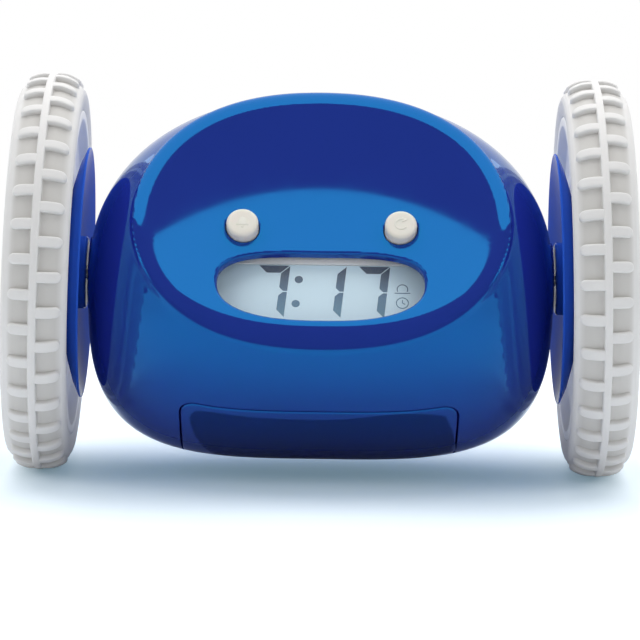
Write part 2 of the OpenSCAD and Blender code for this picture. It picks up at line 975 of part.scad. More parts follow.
front_shell();
rear_shell();
battery_door();
lcd_lens();
lcd_glass();
lcd_frame();
lcd_connectors();
main_board();
board_chips();
face_switches();
left_button();
right_button();
snooze_bar();
snooze_board();
snooze_switch();
rear_board();
slide_switch_cases();
alarm_slider();
wheels_slider();
speaker();
speaker_cone();
battery_tray();
battery_cells();
battery_contacts();
battery_springs();
left_side() gearbox_case();  // left_gearbox_case
right_side() gearbox_case();  // right_gearbox_case
left_side() gearbox_cover();  // left_gearbox_cover
right_side() gearbox_cover();  // right_gearbox_cover
at_axle() both() outboard() gear_pin();  // gear_pins
at_axle() both() outboard() bushes();  // axle_bushes
at_axle() both() outboard() motor_can();  // motor_cans
at_axle() both() outboard() motor_cap();  // motor_caps
at_axle() both() outboard() magnet();  // motor_magnets
left_side() rotor();  // left_motor_rotor
right_side() rotor();  // right_motor_rotor
left_side() pinion();  // left_pinion
right_side() pinion();  // right_pinion
left_side() middle_gear();  // left_middle_gear
right_side() middle_gear();  // right_middle_gear
left_side() output_gear();  // left_output_gear
right_side() output_gear();  // right_output_gear
left_side() axle();  // left_axle
right_side() axle();  // right_axle
left_side() saucer();  // left_saucer
right_side() saucer();  // right_saucer
left_side() wheel_rim();  // left_wheel_rim
right_side() wheel_rim();  // right_wheel_rim
left_side() tyre();  // left_tyre
right_side() tyre();  // right_tyre
left_side() wheel_cover();  // left_wheel_cover
right_side() wheel_cover();  // right_wheel_cover
left_side() wheel_cap();  // left_wheel_cap
right_side() wheel_cap();  // right_wheel_cap
left_side() wheel_screw();  // left_wheel_screw
right_side() wheel_screw();  // right_wheel_screw
casing_screws();
board_screws();
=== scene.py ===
"""Runaway alarm clock: the visible skin, trim and materials around the CAD frame, and the studio.

Shapes are drawn in millimetres from the middle of the axle line; new_mesh() lifts them to the
axles' height and turns them into metres. Directions round the axle line are in degrees, from the
rear (0) over the top (90) and the front (180) to the bottom (270).
"""
import json
import math

import bpy
import numpy as np
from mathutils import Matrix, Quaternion, Vector

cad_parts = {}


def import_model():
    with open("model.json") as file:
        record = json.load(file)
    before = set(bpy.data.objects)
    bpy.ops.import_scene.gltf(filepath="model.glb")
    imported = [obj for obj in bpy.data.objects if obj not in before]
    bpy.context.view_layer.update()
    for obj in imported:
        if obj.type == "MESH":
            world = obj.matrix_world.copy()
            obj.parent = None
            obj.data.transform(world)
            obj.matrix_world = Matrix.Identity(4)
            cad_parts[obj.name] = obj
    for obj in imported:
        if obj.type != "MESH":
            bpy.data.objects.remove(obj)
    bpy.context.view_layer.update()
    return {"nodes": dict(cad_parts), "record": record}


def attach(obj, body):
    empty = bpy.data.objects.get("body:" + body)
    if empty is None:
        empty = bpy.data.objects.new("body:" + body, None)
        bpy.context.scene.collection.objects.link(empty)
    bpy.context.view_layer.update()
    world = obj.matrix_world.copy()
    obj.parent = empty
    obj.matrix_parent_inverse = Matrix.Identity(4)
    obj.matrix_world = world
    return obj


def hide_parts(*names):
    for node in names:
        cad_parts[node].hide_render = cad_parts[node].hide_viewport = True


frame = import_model()
NODES = frame["nodes"]

MM = 0.001
TOP, BOTTOM = 90, -90
SIDES = (-1, 1)

# ---------------------------------------------------------------- wheels' size and lean
WHEEL_R, RIB_X = 44.45, 61.2
LEAN = math.radians(1.5)
AXLE_Z = WHEEL_R * math.cos(LEAN)

# ---------------------------------------------------------------- the casing's surface
BODY_HALF_W, BODY_R, WALL = 51.8, 41.3, 2.0
TOP_POWER, POWER_GAIN = 2.2, 0.7  # the barrel is a superellipse, squarer towards the bottom
TOP_DROP = 1.3
LIP_H, LIP_SPREAD = 1.5, 16
FACE_TILT = math.radians(36.5)
FACE_D, FACE_RX, FACE_RT, FACE_T0 = 24.6, 124.0, 496.0, 8.1  # depth, two radii, middle of the bowl
EDGE_BLEND, LOW_EDGE_BLEND = 3, 8
NO_FACE, FAR = 1000.0, 60.0
FACE_AL, DOOR_AL, SNOOZE_AL, SPEAKER_AL, SLIDER_AL = 143.5, 240.5, 66.0, 25.0, -18.0


def skin(ps, al, off=0.0):
    """Points of the casing's surface, or of one that lies off below it.

    ps runs from the +X end (0) to the -X end (180), and al round the axle line.
    """
    ps, al, off = np.broadcast_arrays(np.radians(ps), np.radians(al), off)
    sp, cp, sa, ca = np.sin(ps), np.cos(ps), np.sin(al), np.cos(al)
    power = TOP_POWER + POWER_GAIN * (1 - sa)
    half_w = BODY_HALF_W - off
    radius = BODY_R - off - TOP_DROP * np.clip(sa, 0, None) ** 2
    barrel = ((np.abs(cp) / half_w) ** power + (np.abs(sp) / radius) ** power) ** (-1 / power)
    # how far off the face's bowl is in the same direction
    ct, st = math.cos(FACE_TILT), math.sin(FACE_TILT)
    dd = -ct * sp * ca + st * sp * sa
    dt = sp * (st * ca + ct * sa)
    qa = cp * cp / (2 * FACE_RX) + dt * dt / (2 * FACE_RT)
    qb = dd + dt * FACE_T0 / FACE_RT
    qc = FACE_D - off + FACE_T0**2 / (2 * FACE_RT)
    root = qb * qb - 4 * qa * qc
    meets = (qb > 0.01) & (root > 0)
    bowl = np.where(meets, 2 * qc / np.where(meets, qb + np.sqrt(np.abs(root)), 1), NO_FACE)
    # a lip round the face's upper edge
    gap = np.clip(bowl - barrel, 0, FAR)
    barrel = barrel + LIP_H * np.clip(0.5 + 1.2 * sa, 0, 1) * np.exp(-gap * gap / LIP_SPREAD)
    # the nearer of the two, rounded where they meet and more so at the face's foot
    blend = EDGE_BLEND + LOW_EDGE_BLEND * np.clip(-sa, 0, 0.5)
    h = np.clip(blend - np.abs(barrel - bowl), 0, None) / blend
    reach = np.minimum(barrel, bowl) - h * h * blend / 4
    return np.stack([reach * cp, reach * sp * ca, reach * sp * sa], -1)


class Plane:
    """Local frame (x, t, d): d along a direction around the axle, t the rest of the right hand frame."""

    def __init__(self, al):
        a = math.radians(al)
        self.d = np.array([0, math.cos(a), math.sin(a)])
        self.t = np.array([0, math.sin(a), -math.cos(a)])
        self.x = np.array([1.0, 0, 0])

    def world(self, p):
        p = np.asarray(p, float)
        return p[..., :1] * self.x + p[..., 1:2] * self.t + p[..., 2:3] * self.d

    def depth(self, xt, off=0.0):
        """How far out the surface lies over each (x, t), found by halving."""
        xt = np.asarray(xt, float)
        lo, hi = np.full(len(xt), 5.0), np.full(len(xt), FAR)
        for _ in range(36):
            mid = (lo + hi) / 2
            p = self.world(np.column_stack([xt, mid]))
            ps = np.degrees(np.arctan2(np.hypot(p[:, 1], p[:, 2]), p[:, 0]))
            al = np.degrees(np.arctan2(p[:, 2], p[:, 1]))
            out = np.linalg.norm(p, axis=1) > np.linalg.norm(skin(ps, al, off), axis=1)
            lo, hi = np.where(out, lo, mid), np.where(out, mid, hi)
        return (lo + hi) / 2

    def stack(self, levels):
        """A closed part through outlines of (x, t), each at its own depth or depths."""
        return rings([self.world(np.column_stack([q, np.broadcast_to(d, len(q))])) for q, d in levels])


FACE, DOOR, REAR = Plane(FACE_AL), Plane(DOOR_AL), Plane(0)
SNOOZE, SPEAKER, SLIDER = Plane(SNOOZE_AL), Plane(SPEAKER_AL), Plane(SLIDER_AL)


# ---------------------------------------------------------------- meshes
def leaned(part):
    """A part of either drive, turned about its wheel's tread so that the wheel's top nears the body."""
    v, f = part
    v = np.array(v, float)
    side = np.sign(v[:, 0].mean())
    dx, z = side * v[:, 0] - RIB_X, v[:, 2].copy()
    v[:, 0] = side * (RIB_X + dx * math.cos(LEAN) - z * math.sin(LEAN))
    v[:, 2] = dx * math.sin(LEAN) + z * math.cos(LEAN)
    return v, f


def facing_out(verts, faces):
    """The faces of a closed part, turned over if its volume comes out negative."""
    volume = 0.0
    sizes = {}
    for q in faces:
        sizes.setdefault(len(q), []).append(q)
    for size, group in sizes.items():
        g = np.asarray(group)
        for k in range(1, size - 1):
            a, b, c = verts[g[:, 0]], verts[g[:, k]], verts[g[:, k + 1]]
            volume += float(np.einsum("ij,ij->", a, np.cross(b, c)))
    return faces if volume > 0 else [q[::-1] for q in faces]


def new_mesh(name, verts, faces):
    me = bpy.data.meshes.new(name)
    v = np.asarray(verts, float).copy()
    v[:, 2] += AXLE_Z
    me.from_pydata((v * MM).tolist(), [], [list(map(int, f)) for f in faces])
    me.validate()
    ob = bpy.data.objects.new(name, me)
    bpy.context.scene.collection.objects.link(ob)
    return ob


def shade(ob, angle=32):
    """Smooth shading, but sharp at edges over this many degrees."""
    me = ob.data
    me.polygons.foreach_set("use_smooth", [True] * len(me.polygons))
    me.set_sharp_from_angle(angle=math.radians(angle))
    me.update()


def merge(parts):
    verts, faces, base = [], [], 0
    for v, f in parts:
        verts.append(np.asarray(v, float))
        faces += [[int(i) + base for i in q] for q in facing_out(verts[-1], f)]
        base += len(v)
    return np.concatenate(verts), faces


def solid(name, parts, angle):
    ob = new_mesh(name, *merge(parts))
    shade(ob, angle)
    return ob


def boolean(ob, cutters, op="DIFFERENCE"):
    """Applies a boolean with closed cutters, given as (verts, faces) parts."""
    tool = new_mesh("tool", *merge(cutters))
    m = ob.modifiers.new("cut", "BOOLEAN")
    m.operation, m.object, m.solver = op, tool, "MANIFOLD"
    dg = bpy.context.evaluated_depsgraph_get()
    me = bpy.data.meshes.new_from_object(ob.evaluated_get(dg))
    ob.modifiers.clear()
    old = ob.data
    ob.data = me
    bpy.data.meshes.remove(old)
    bpy.data.objects.remove(tool)


def piece(ob, body, slot, material, *nodes):
    """Hands a finished object over: its material, its body and the CAD nodes it stands for; the slot is not
    used.
    """
    ob.data.materials.clear()
    ob.data.materials.append(material)
    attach(ob, body)
    if nodes:
        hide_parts(*nodes)


def rings(loops, capped=True):
    """Skins closed rows of points of equal length; the caps are n-gons."""
    loops = [np.asarray(r, float) for r in loops]
    n = len(loops[0])
    faces = []
    for i in range(len(loops) - 1):
        a, b = i * n, (i + 1) * n
        for j in range(n):
            k = (j + 1) % n
            faces.append([a + j, a + k, b + k, b + j])
    if capped:
        base = (len(loops) - 1) * n
        faces.append(list(range(n))[::-1])
        faces.append([base + j for j in range(n)])
    return np.concatenate(loops), faces


def revolve(profile, steps, mirror=False):
    """Turns a closed profile of (radius, x) around the axle."""
    prof = np.asarray(profile, float)
    a = np.linspace(0, 2 * math.pi, steps, endpoint=False)
    n = len(prof)
    x = np.tile(prof[:, 1] * (-1 if mirror else 1), (steps, 1))
    v = np.stack([x, np.outer(np.cos(a), prof[:, 0]), np.outer(np.sin(a), prof[:, 0])], -1)
    faces = []
    for i in range(steps):
        j = (i + 1) % steps
        for k in range(n):
            m = (k + 1) % n
            q = [i * n + k, i * n + m, j * n + m, j * n + k]
            faces.append(q[::-1] if mirror else q)
    return v.reshape(-1, 3), faces


def half_ring(profile, a0, mirror, steps=60):
    """Half a turn of a closed profile of (radius, x), closed at both ends."""
    prof = np.asarray(profile, float)
    x, r = prof[:, 1] * (-1 if mirror else 1), prof[:, 0]
    turn = np.radians(np.linspace(a0, a0 + 180, steps + 1))
    v, f = rings([np.column_stack([x, r * math.cos(a), r * math.sin(a)]) for a in turn])
    return v, [q[::-1] for q in f] if mirror else f


AXIS_R = 0.004  # stands for a radius of nothing


def turned(plane, cx, ct, profile, steps=72):
    """Turns a profile of (radius, d) around the local d axis; it starts and ends on the axis."""
    a = np.linspace(0, 2 * math.pi, steps, endpoint=False)
    levels = []
    for r, d in profile:
        r = max(r, AXIS_R)
        levels.append((np.column_stack([cx + r * np.cos(a), ct + r * np.sin(a)]), d))
    return plane.stack(levels)


def prism(plane, outline, lo, hi, chamfer=0.0):
    """A closed prism along d with small chamfers on its top edge."""
    o = np.asarray(outline, float)
    if not chamfer:
        return plane.stack([(o, lo), (o, hi)])
    n = outward(o)
    bevel = [(o - n * chamfer * 0.3, hi - chamfer * 0.3), (o - n * chamfer, hi)]
    return plane.stack([(o, lo), (o, hi - chamfer)] + bevel)


def cylinder(x, z, r, lo, hi, steps, chamfer):
    """A closed cylinder along Y with chamfered ends."""
    a = np.linspace(0, 2 * math.pi, steps, endpoint=False)
    levels = [(lo, r - chamfer), (lo + chamfer, r), (hi - chamfer, r), (hi, r - chamfer)]
    sin, cos, ones = np.sin(a), np.cos(a), np.ones(steps)
    return rings([np.column_stack([x + q * sin, y * ones, z + q * cos]) for y, q in levels])


def box(x0, x1, y0, y1, z0, z1):
    return rings([[(x0, y0, z), (x1, y0, z), (x1, y1, z), (x0, y1, z)] for z in (z0, z1)])


# ---------------------------------------------------------------- outlines and profiles
def rounded(w, h, r, k=8):
    """Rectangle of half sizes w and h with round corners."""
    pts = []
    for q, (cx, cy) in enumerate([(w - r, h - r), (r - w, h - r), (r - w, r - h), (w - r, r - h)]):
        for i in range(k + 1):
            a = math.pi / 2 * (q + i / k)
            pts.append((cx + r * math.cos(a), cy + r * math.sin(a)))
    return np.array(pts)


def dense(pts, step):
    """Closed outline with points added, no further apart than step."""
    out = []
    for p, q in zip(pts, np.roll(pts, -1, 0)):
        n = max(1, int(math.ceil(np.linalg.norm(q - p) / step)))
        out += [p + (q - p) * i / n for i in range(n)]
    return np.array(out)


def outward(pts):
    """Unit normals of a counter-clockwise outline."""
    d = np.roll(pts, -1, 0) - np.roll(pts, 1, 0)
    n = np.column_stack([d[:, 1], -d[:, 0]])
    return n / np.linalg.norm(n, axis=1)[:, None]


def disc(cx, cy, r, n=48):
    a = np.linspace(0, 2 * math.pi, n, endpoint=False)
    return np.column_stack([cx + r * np.cos(a), cy + r * np.sin(a)])


def arc(cx, cy, r, a0, a1, n=14):
    a = np.radians(np.linspace(a0, a1, n))
    return np.column_stack([cx + r * np.cos(a), cy + r * np.sin(a)])


def ribbon(points, width):
    """Closed outline of a line of that width."""
    p = np.asarray(points, float)
    d = np.gradient(p, axis=0)
    d /= np.linalg.norm(d, axis=1)[:, None]
    n = np.column_stack([-d[:, 1], d[:, 0]]) * width / 2
    return np.concatenate([p - n, (p + n)[::-1]])


NEARLY_STRAIGHT = 0.18  # radians; corners that turn less stay as they are


def soften(profile, radius, steps=3):
    """Rounds the corners of a closed profile with small arcs."""
    pts = [np.asarray(p, float) for p in profile]
    out = []
    for i, p in enumerate(pts):
        a, b = pts[i - 1] - p, pts[(i + 1) % len(pts)] - p
        la, lb = np.linalg.norm(a), np.linalg.norm(b)
        a, b = a / la, b / lb
        turn = math.pi - math.acos(max(-1, min(1, float(a @ b))))
        if turn < NEARLY_STRAIGHT:
            out.append(p)
            continue
        d = min(radius * math.tan(turn / 2), 0.42 * la, 0.42 * lb)
        for k in range(steps + 1):
            s = k / steps
            out.append((1 - s) ** 2 * (p + a * d) + 2 * s * (1 - s) * p + s * s * (p + b * d))
    return out


ROLL = math.radians(72)  # how far round the edge of an opening or lid rolls


def flared(plane, outline, low, radius, high=None, sign=1.0, steps=4):
    """A closed cutter from depth low up through the surface, whose walls roll over where they meet it.

    They roll outwards for a hole (sign 1) and inwards for a lid (sign -1).
    """
    nrm = outward(outline)
    levels = [(outline, low)]
    for i in range(steps + 1):
        a = ROLL * i / steps
        p = outline + nrm * sign * radius * (1 - math.cos(a))
        levels.append((p, plane.depth(p) - radius * (1 - math.sin(a))))
    reach = 0.9 * radius
    p = outline + nrm * sign * (radius * (1 - math.cos(ROLL)) + reach * math.sin(ROLL))
    top = plane.depth(p) - radius * (1 - math.sin(ROLL)) + reach * math.cos(ROLL)
    levels += [(p, top), (p, top + 1.0 if high is None else np.maximum(top + 0.2, high))]
    return plane.stack(levels)


# ---------------------------------------------------------------- shader nodes
def plug(nt, socket, value):
    """Feeds a socket with another node's output or with a plain value."""
    if isinstance(value, bpy.types.NodeSocket):
        nt.links.new(value, socket)
    else:
        socket.default_value = value


def cleared(owner):
    """The emptied node tree of a material or world."""
    owner.use_nodes = True
    owner.node_tree.nodes.clear()
    return owner.node_tree


def calc(nt, operation, *values):
    """What a Math node makes of the values."""
    node = nt.nodes.new("ShaderNodeMath")
    node.operation = operation
    for socket, value in zip(node.inputs, values):
        plug(nt, socket, value)
    return node.outputs[0]


def mixed(nt, factor, a, b, blend="MIX"):
    """A colour between a and b."""
    node = nt.nodes.new("ShaderNodeMix")
    node.data_type, node.blend_type = "RGBA", blend
    for key, value in (("Factor", factor), ("A", a), ("B", b)):
        plug(nt, node.inputs[key], value)
    return node.outputs["Result"]


def mapped(nt, value, lo, hi, low, high, kind="SMOOTHSTEP"):
    """The value's range from lo to hi, laid over low to high."""
    node = nt.nodes.new("ShaderNodeMapRange")
    node.interpolation_type = kind
    for key, v in (("Value", value), ("From Min", lo), ("From Max", hi), ("To Min", low), ("To Max", high)):
        plug(nt, node.inputs[key], v)
    return node.outputs["Result"]


def noise(nt, coords, scale, detail):
    node = nt.nodes.new("ShaderNodeTexNoise")
    for key, value in (("Vector", coords), ("Scale", scale), ("Detail", detail)):
        plug(nt, node.inputs[key], value)
    return node.outputs["Fac"]


def ramp(nt, value, stops, kind="LINEAR"):
    """A colour ramp; its first two stops are the node's own, the others are added."""
    node = nt.nodes.new("ShaderNodeValToRGB")
    node.color_ramp.interpolation = kind
    elements = node.color_ramp.elements
    for k, (position, color) in enumerate(stops):
        stop = elements[k] if k < 2 else elements.new(position)
        stop.position, stop.color = position, (*color, 1)
    nt.links.new(value, node.inputs[0])
    return node.outputs[0]


def split(nt, vector):
    """The X, Y and Z of a vector."""
    node = nt.nodes.new("ShaderNodeSeparateXYZ")
    nt.links.new(vector, node.inputs[0])
    return node.outputs


def mixed_shader(nt, factor, first, second):
    node = nt.nodes.new("ShaderNodeMixShader")
    for socket, value in zip(node.inputs, (factor, first, second)):
        nt.links.new(value, socket)
    return node.outputs[0]


def ray_switch(nt, *kinds):
    """1 for rays of these kinds, else 0."""
    path = nt.nodes.new("ShaderNodeLightPath")
    last = path.outputs[kinds[0]]
    for kind in kinds[1:]:
        last = calc(nt, "MAXIMUM", last, path.outputs[kind])
    return last


# ---------------------------------------------------------------- materials
BLOTCH = 60.0  # the larger noise, in cycles per metre
DISPLAY_FOOT, DISPLAY_TOP = 0.0382, 0.0480  # heights in metres


def material(name, color, rough, grain, bump, tint=0.06, rough_spread=0.06, **sockets):
    """Moulded or machined stuff: two sizes of noise move its colour and roughness, a bump gives its grain.

    grain is in cycles per metre; bump is the grain's height in metres.
    """
    mat = bpy.data.materials.new(name)
    nt = cleared(mat)
    out = nt.nodes.new("ShaderNodeOutputMaterial")
    shader = nt.nodes.new("ShaderNodeBsdfPrincipled")
    nt.links.new(shader.outputs[0], out.inputs[0])
    coords = nt.nodes.new("ShaderNodeTexCoord").outputs["Object"]
    big, small = noise(nt, coords, BLOTCH, 3), noise(nt, coords, grain, 4)
    dark, pale = [(*np.clip(np.array(color) * (1 + t), 0, 1), 1) for t in (-tint, tint)]
    plug(nt, shader.inputs["Base Color"], mixed(nt, big, dark, pale))
    both = calc(nt, "MULTIPLY_ADD", small, 0.5, calc(nt, "MULTIPLY", big, 0.5))
    low, high = max(0.0, rough - rough_spread), min(1.0, rough + rough_spread)
    plug(nt, shader.inputs["Roughness"], mapped(nt, both, 0.3, 0.7, low, high, "LINEAR"))
    relief = nt.nodes.new("ShaderNodeBump")
    for key, value in (("Distance", bump), ("Strength", 1.0), ("Height", small)):
        plug(nt, relief.inputs[key], value)
    plug(nt, shader.inputs["Normal"], relief.outputs["Normal"])
    for key, value in sockets.items():
        shader.inputs[key.replace("_", " ")].default_value = value
    return mat


def opened(mat):
    """A material's node tree, its shader's base colour socket and its object coordinates."""
    nt = mat.node_tree
    shader = next(n for n in nt.nodes if n.type == "BSDF_PRINCIPLED")
    coords = next(n for n in nt.nodes if n.type == "TEX_COORD")
    return nt, shader.inputs["Base Color"], coords.outputs["Object"]


def rubber_material():
    """White rubber with painted shade: darker where mark_recess() marks the floor between the bars."""
    mat = material(
        "white_rubber", (0.745, 0.738, 0.730), 0.62, grain=1400, bump=1.2e-5, tint=0.035, rough_spread=0.08,
    )
    nt, color, _ = opened(mat)
    deep = nt.nodes.new("ShaderNodeAttribute")
    deep.attribute_name = "recess"
    # painted shade in the recesses between the bars, multiplied into the rubber's colour
    recess_shade = (0.80, 0.79, 0.77, 1)
    plug(nt, color, mixed(nt, deep.outputs["Fac"], color.links[0].from_socket, recess_shade, "MULTIPLY"))
    return mat


def ink_material():
    """Display segments with a painted reflection: darkest at the top of the display and paler towards its
    foot.
    """
    mat = material("lcd_ink", (0.02, 0.075, 0.14), 0.4, grain=1800, bump=1e-6, tint=0.1)
    nt, color, coords = opened(mat)
    height = mapped(nt, split(nt, coords)["Z"], DISPLAY_FOOT, DISPLAY_TOP, 0, 1, "LINEAR")
    # painted reflection: the segments' colour runs from dark at the display's top to pale at its foot
    stops = [(0.0, (0.09, 0.26, 0.37)), (1.0, (0.012, 0.042, 0.10)), (0.5, (0.05, 0.15, 0.27))]
    plug(nt, color, ramp(nt, height, stops))
    return mat


def board_material():
    """Green board with paler tracks in a grid and solder dots."""
    mat = material("circuit_board", (0.02, 0.13, 0.055), 0.36, grain=1800, bump=4e-6, tint=0.15)
    nt, color, coords = opened(mat)
    tracks = nt.nodes.new("ShaderNodeTexBrick")
    for key, value in (
        ("Vector", coords), ("Scale", 190), ("Mortar Size", 0.055), ("Color1", (0.02, 0.13, 0.055, 1)),
        ("Color2", (0.025, 0.16, 0.065, 1)), ("Mortar", (0.05, 0.27, 0.11, 1)),
    ):
        plug(nt, tracks.inputs[key], value)
    dots = nt.nodes.new("ShaderNodeTexVoronoi")
    plug(nt, dots.inputs["Scale"], 330)
    plug(nt, dots.inputs["Vector"], coords)
    near = calc(nt, "LESS_THAN", dots.outputs["Distance"], 0.16)
    plug(nt, color, mixed(nt, near, tracks.outputs["Color"], (0.55, 0.56, 0.56, 1)))
    return mat


def cell_material():
    """Battery jacket: two bands of plain colour along the cell and metallic ends."""
    mat = material("cell_jacket", (0.05, 0.27, 0.12), 0.28, grain=1500, bump=2e-6, tint=0.05, Metallic=0.35)
    nt, color, coords = opened(mat)
    half_length = 0.0222
    along = calc(nt, "MULTIPLY", calc(nt, "ABSOLUTE", split(nt, coords)["X"]), 1 / half_length)
    stops = [(0.0, (0.03, 0.22, 0.1)), (0.62, (0.55, 0.42, 0.12)), (0.97, (0.6, 0.6, 0.6))]
    plug(nt, color, ramp(nt, along, stops, "CONSTANT"))
    return mat


BLUE = material(
    "blue_plastic", (0.0165, 0.026, 0.262), 0.025, grain=240, bump=1.5e-7, tint=0.04, rough_spread=0.008,
    IOR=1.85, Specular_IOR_Level=1.0, Specular_Tint=(0.0, 0.46, 0.92, 1),
)
# painted light: a paler copy of the blue plastic for the saucers, its reflection nearly turned off, its
# colour standing in for the light and reflections the plastic shows there
BLUE_DISH = material(
    "blue_dish", (0.030, 0.120, 0.640), 0.2, grain=240, bump=4e-7, tint=0.05, rough_spread=0.02,
    IOR=1.4, Specular_IOR_Level=0.01, Specular_Tint=(0.0, 0.5, 1.0, 1),
)
RUBBER = rubber_material()
WHITE = material(
    "white_plastic", (0.94, 0.94, 0.925), 0.5, grain=1100, bump=4e-6, tint=0.02, Specular_IOR_Level=0.35,
)
CREAM = material(
    "cream_plastic", (0.78, 0.745, 0.67), 0.36, grain=1300, bump=5e-6, tint=0.03,
    Subsurface_Weight=0.08, Subsurface_Scale=0.0008,
)
CLEAR = material(
    "clear_plastic", (0.85, 0.9, 0.93), 0.05, grain=400, bump=8e-7, tint=0.01, rough_spread=0.02, Alpha=0.06,
)
LCD = material("lcd_glass", (0.66, 0.85, 0.95), 0.34, grain=2600, bump=1.5e-6, tint=0.015)
INK = ink_material()
PINK = material("pink_rubber", (0.62, 0.34, 0.3), 0.6, grain=1500, bump=6e-6)
BLACK = material("black_plastic", (0.018, 0.019, 0.021), 0.42, grain=1200, bump=6e-6, tint=0.15)
GREY = material("grey_plastic", (0.26, 0.28, 0.3), 0.7, grain=2500, bump=1.2e-5, tint=0.1)
BRASS = material("brass", (0.62, 0.45, 0.17), 0.28, grain=1800, bump=2e-6, Metallic=1.0)
MAGNET = material("magnet", (0.05, 0.052, 0.056), 0.55, grain=2200, bump=1e-5)
STEEL = material("steel", (0.55, 0.56, 0.58), 0.27, grain=2000, bump=2e-6, Metallic=1.0)
BOARD = board_material()
CELL = cell_material()
SLOT_MATERIAL = {
    "blue_plastic": BLUE, "white_rubber": RUBBER, "white_plastic": WHITE, "cream_plastic": CREAM,
    "clear_plastic": CLEAR, "lcd_glass": LCD, "pink_rubber": PINK, "circuit_board": BOARD,
    "black_plastic": BLACK, "grey_plastic": GREY, "cell_jacket": CELL, "brass": BRASS,
    "magnet": MAGNET, "steel": STEEL,
}
for part in frame["record"]["subparts"]:
    node, stuff = NODES[part["node"]], SLOT_MATERIAL[part["material_slot"]]
    for slot in node.material_slots:
        slot.material = stuff
    if not node.material_slots:
        node.data.materials.append(stuff)

# ---------------------------------------------------------------- casing halves and battery door
ROWS_ALONG, ROWS_ROUND, ROWS_INSIDE = 360, 300, 49
SEAM = [(0, 0.3), (0.09, 0.14), (0.22, 0.05), (0.42, 0.0)]  # (degrees, depth): the parting edge rolls in


def half_barrel(name, a0):
    """Hollow half of the barrel from direction a0 through half a turn."""
    outer = [(a0 + a, o) for a, o in SEAM]
    outer += [(a, 0.0) for a in np.linspace(a0 + 0.9, a0 + 179.1, ROWS_ROUND)]
    outer += [(2 * a0 + 180 - a, o) for a, o in outer[len(SEAM) - 1 :: -1]]
    inner = [(a, WALL) for a in np.linspace(a0 + 180, a0, ROWS_INSIDE)]
    al = np.array([a for a, _ in outer + inner])
    off = np.array([o for _, o in outer + inner])
    loops = [skin(ps, al, off) for ps in np.linspace(0, 180, ROWS_ALONG + 1)[1:-1]]
    v, f = rings(loops, capped=False)
    # fans close the ends: the outer and the inner wall each meet in a point on the axle line
    m, n, no = len(al), len(loops), len(outer)
    ends = (BODY_HALF_W, BODY_HALF_W - WALL, -BODY_HALF_W, WALL - BODY_HALF_W)
    v = np.concatenate([v, [[x, 0, 0] for x in ends]])
    base = n * m
    for row, out, inn, flip in ((0, base, base + 1, False), ((n - 1) * m, base + 2, base + 3, True)):
        fan = [[out, row + j + 1, row + j] for j in range(no - 1)]
        fan += [[inn, row + j + 1, row + j] for j in range(no, m - 1)]
        fan += [[out, inn, row + no, row + no - 1], [inn, out, row, row + m - 1]]
        f += [q[::-1] for q in fan] if flip else fan
    return new_mesh(name, v, facing_out(v, f))


WINDOW_HALF_W, WINDOW_HALF_H, WINDOW_T = 22.4, 8.45, -17.35


def window_outline(n=240):
    """The mouth-like display window, a little squarer than an ellipse."""

    def power(v, p):
        return np.sign(v) * np.abs(v) ** p

    a = np.radians(np.arange(n) * 360 / n + 0.75)
    x, t = WINDOW_HALF_W * power(np.cos(a), 2 / 3), WINDOW_T + WINDOW_HALF_H * power(np.sin(a), 0.8)
    return np.column_stack([x, t])


COLLAR = soften([(1.2, 46), (8.1, 46), (8.1, 51.8), (1.2, 51.8)], 0.35)


def bore(mirror):
    """The hole for an axle, wider where its bush sits."""
    return leaned(revolve([(0.01, 45), (3.3, 45), (3.3, 47.4), (2, 47.4), (2, 54), (0.01, 54)], 48, mirror))


def collars(a0):
    """Front or rear half of the two collars round the axles."""
    return [leaned(half_ring(COLLAR, a0, mirror)) for mirror in (False, True)]


def thumb_scoop():
    """A lying roll that cuts the thumb notch in the door's lower edge."""
    half_w, radius, t, d = 5.2, 2.3, -15.3, 39.2
    profile = [(0.01, -half_w), (radius, -half_w), (radius, half_w), (0.01, half_w)]
    v, f = revolve(soften(profile, 0.5, 5), 64)
    v[:, 1:] = v[:, 1:] + (t * DOOR.t + d * DOOR.d)[1:]
    return v, f


EYE_X, EYE_T, EYE_HOLE_R = 17.2, -3.3, 3.74
# depths where the cutters start
FACE_FLOOR, DOOR_FLOOR, SEAT_FLOOR, SPEAKER_FLOOR, SLIDER_FLOOR, SNOOZE_FLOOR = 17.5, 30, 12, 34, 30, 32
DOOR_HOLE = dense(rounded(30.4, 15, 4, 10), 0.7)
DOOR_LID = dense(rounded(30.1, 14.7, 3.7, 10), 0.7)

front = half_barrel("casing_front", TOP)
door = half_barrel("battery_cover", TOP)
boolean(front, collars(TOP), "UNION")
openings = [flared(FACE, window_outline(), FACE_FLOOR, 0.55)]
openings += [flared(FACE, disc(EYE_X * sx, EYE_T, EYE_HOLE_R), FACE_FLOOR, 0.14) for sx in SIDES]
openings += [flared(DOOR, DOOR_HOLE, DOOR_FLOOR, 0.35), bore(False), bore(True)]
boolean(front, openings)
boolean(door, [flared(DOOR, DOOR_LID, DOOR_FLOOR, 0.35, high=46, sign=-1)], "INTERSECT")
boolean(door, [thumb_scoop()])

# where the case screws sit, as (x, z)
SEATS = [(x * sx, z) for sx in SIDES for x, z in ((26, 24), (33, -32.1))]
HOLE_PITCH = 2.9
grille = [(0.0, 0.0)]
for ring in (1, 2, 3):
    turns = [math.radians(60 * i / ring) for i in range(6 * ring)]
    grille += [(HOLE_PITCH * ring * math.cos(a), HOLE_PITCH * ring * math.sin(a)) for a in turns]

